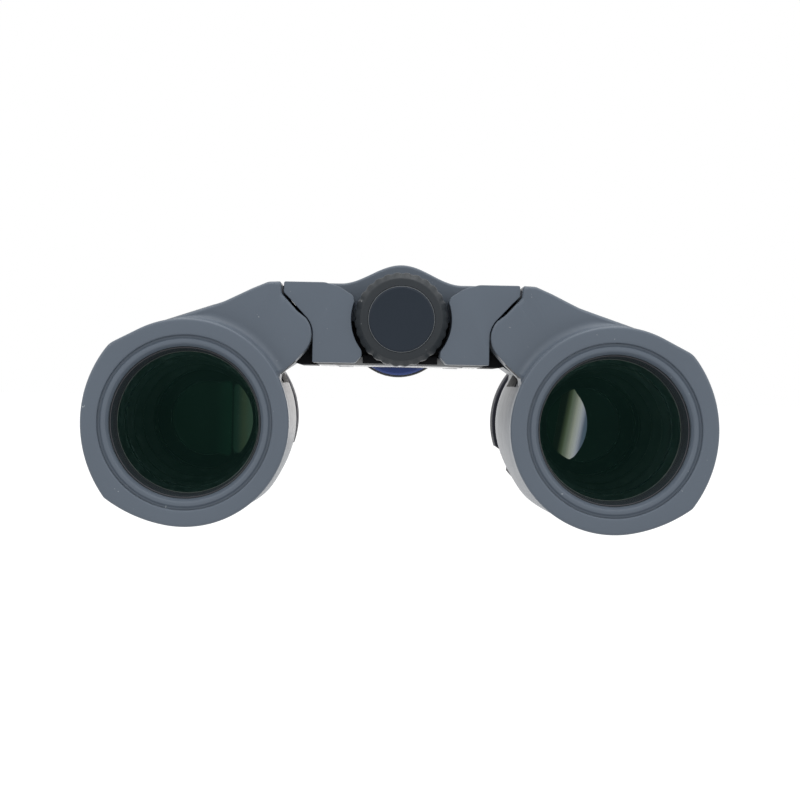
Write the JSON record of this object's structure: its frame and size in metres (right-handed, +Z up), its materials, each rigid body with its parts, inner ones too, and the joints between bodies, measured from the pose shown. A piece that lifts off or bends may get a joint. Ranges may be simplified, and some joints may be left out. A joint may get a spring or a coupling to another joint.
{
  "type": "binoculars",
  "caption": "Compact folding binoculars with two hinged barrels, a centre focus wheel, a dioptre wheel and twist-up eyecups.",
  "frame": {"origin": "under the middle of the resting object, on the surface that it lies on, with both barrels fully opened", "axes": "+X across the two barrels, +Y from the objectives to the eyepieces, +Z up towards the bridge"},
  "size_m": [0.1114, 0.105, 0.0471],
  "materials": {
    "armour": "satin",
    "housing": "satin",
    "black_frame": "matte",
    "wheel_rubber": "matte",
    "wheel_cap": "satin",
    "diopter_blue": "satin",
    "steel": "satin",
    "brass": "satin",
    "coated_glass": "polished",
    "prism_glass": "polished",
    "eyecup_rubber": "matte",
    "grip_rubber": "textured"
  },
  "bodies": {
    "bridge": {"bridge_chassis": "black_frame", "bridge_housing": "housing", "bridge_base_plate": "housing", "left_front_cover": "housing", "right_front_cover": "housing", "bridge_screws": "steel", "left_front_hinge_pin": "steel", "right_front_hinge_pin": "steel", "left_rear_hinge_tube": "steel", "right_rear_hinge_tube": "steel", "hinge_washers": "brass", "spindle_bushes": "brass"},
    "focus_wheel": {"focus_wheel_hub": "black_frame", "focus_wheel_grip": "wheel_rubber", "focus_wheel_cap": "wheel_cap", "focus_spindle": "steel"},
    "crosshead": {"crosshead": "black_frame", "crosshead_nut": "brass", "left_push_rod": "steel"},
    "right_push_rod": {"right_push_rod": "steel"},
    "diopter_wheel": {"diopter_ring": "diopter_blue", "diopter_grip": "wheel_rubber"},
    "left_barrel": {"left_armour": "armour", "left_grip_panel": "grip_rubber", "left_barrel_tube": "black_frame", "left_hinge_cap": "black_frame", "left_objective_ring": "armour", "left_objective_front_lens": "coated_glass", "left_objective_rear_lens": "coated_glass", "left_prism_cage": "black_frame", "left_half_prism": "prism_glass", "left_roof_prism": "prism_glass", "left_eyepiece_tube": "black_frame", "left_field_lens": "coated_glass", "left_eye_lens": "coated_glass"},
    "left_eyecup_guide": {"left_eyecup_guide": "black_frame"},
    "left_eyecup": {"left_eyecup_core": "black_frame", "left_eyecup_rubber": "eyecup_rubber"},
    "left_focus_carriage": {"left_lens_carriage": "black_frame", "left_focus_lens": "coated_glass"},
    "right_barrel": {"right_armour": "armour", "right_grip_panel": "grip_rubber", "right_barrel_tube": "black_frame", "right_hinge_cap": "black_frame", "right_objective_ring": "armour", "right_objective_front_lens": "coated_glass", "right_objective_rear_lens": "coated_glass", "right_prism_cage": "black_frame", "right_half_prism": "prism_glass", "right_roof_prism": "prism_glass", "right_eyepiece_tube": "black_frame", "right_field_lens": "coated_glass", "right_eye_lens": "coated_glass"},
    "right_eyecup_guide": {"right_eyecup_guide": "black_frame"},
    "right_eyecup": {"right_eyecup_core": "black_frame", "right_eyecup_rubber": "eyecup_rubber"},
    "right_focus_carriage": {"right_lens_carriage": "black_frame", "right_focus_lens": "coated_glass"},
    "right_carriage_guide": {"right_carriage_guide": "brass"}
  },
  "joints": [
    {"name": "right_barrel_fold", "type": "hinge", "parent": "bridge", "child": "right_barrel", "pos_m": [0.0201, 0, 0.0341], "axis": [0, 1, 0], "range_deg": [0, 45]},
    {"name": "left_barrel_fold", "type": "hinge", "parent": "bridge", "child": "left_barrel", "pos_m": [-0.0201, 0, 0.0341], "axis": [0, -1, 0], "range_deg": [0, 45]},
    {"name": "focus_wheel_turn", "type": "hinge", "parent": "bridge", "child": "focus_wheel", "pos_m": [0, 0, 0.037], "axis": [0, 1, 0], "range_deg": [-180.01, 180.01]},
    {"name": "crosshead_slide", "type": "slide", "parent": "bridge", "child": "crosshead", "axis": [0, 1, 0], "range_m": [-0.0015, 0.0015]},
    {"name": "left_carriage_slide", "type": "slide", "parent": "left_barrel", "child": "left_focus_carriage", "axis": [0, 1, 0], "range_m": [-0.0015, 0.0015]},
    {"name": "right_guide_slide", "type": "slide", "parent": "right_barrel", "child": "right_carriage_guide", "axis": [0, 1, 0], "range_m": [-0.0015, 0.0015]},
    {"name": "diopter_wheel_turn", "type": "hinge", "parent": "bridge", "child": "diopter_wheel", "pos_m": [0, 0, 0.037], "axis": [0, 1, 0], "range_deg": [-60.01, 60.01]},
    {"name": "right_push_rod_slide", "type": "slide", "parent": "crosshead", "child": "right_push_rod", "axis": [0, 1, 0], "range_m": [-0.00067, 0.00067]},
    {"name": "right_carriage_slide", "type": "slide", "parent": "right_carriage_guide", "child": "right_focus_carriage", "axis": [0, 1, 0], "range_m": [-0.00067, 0.00067]},
    {"name": "left_eyecup_lift", "type": "slide", "parent": "left_barrel", "child": "left_eyecup_guide", "axis": [0, 1, 0], "range_m": [0, 0.007]},
    {"name": "left_eyecup_twist", "type": "hinge", "parent": "left_eyecup_guide", "child": "left_eyecup", "pos_m": [-0.0375, 0, 0.0182], "axis": [0, 1, 0], "range_deg": [-0.01, 120.01]},
    {"name": "right_eyecup_lift", "type": "slide", "parent": "right_barrel", "child": "right_eyecup_guide", "axis": [0, 1, 0], "range_m": [0, 0.007]},
    {"name": "right_eyecup_twist", "type": "hinge", "parent": "right_eyecup_guide", "child": "right_eyecup", "pos_m": [0.0375, 0, 0.0182], "axis": [0, 1, 0], "range_deg": [-0.01, 120.01]}
  ],
  "couplings": [
    {"joint": "focus_wheel_turn", "follows": "crosshead_slide", "rad_per_m": 2094.4},
    {"joint": "left_carriage_slide", "follows": "crosshead_slide", "ratio": 1},
    {"joint": "right_guide_slide", "follows": "crosshead_slide", "ratio": 1},
    {"joint": "diopter_wheel_turn", "follows": "right_push_rod_slide", "rad_per_m": 1570.8},
    {"joint": "right_carriage_slide", "follows": "right_push_rod_slide", "ratio": 1},
    {"joint": "left_eyecup_twist", "follows": "left_eyecup_lift", "rad_per_m": 299.2},
    {"joint": "right_eyecup_twist", "follows": "right_eyecup_lift", "rad_per_m": 299.2}
  ]
}
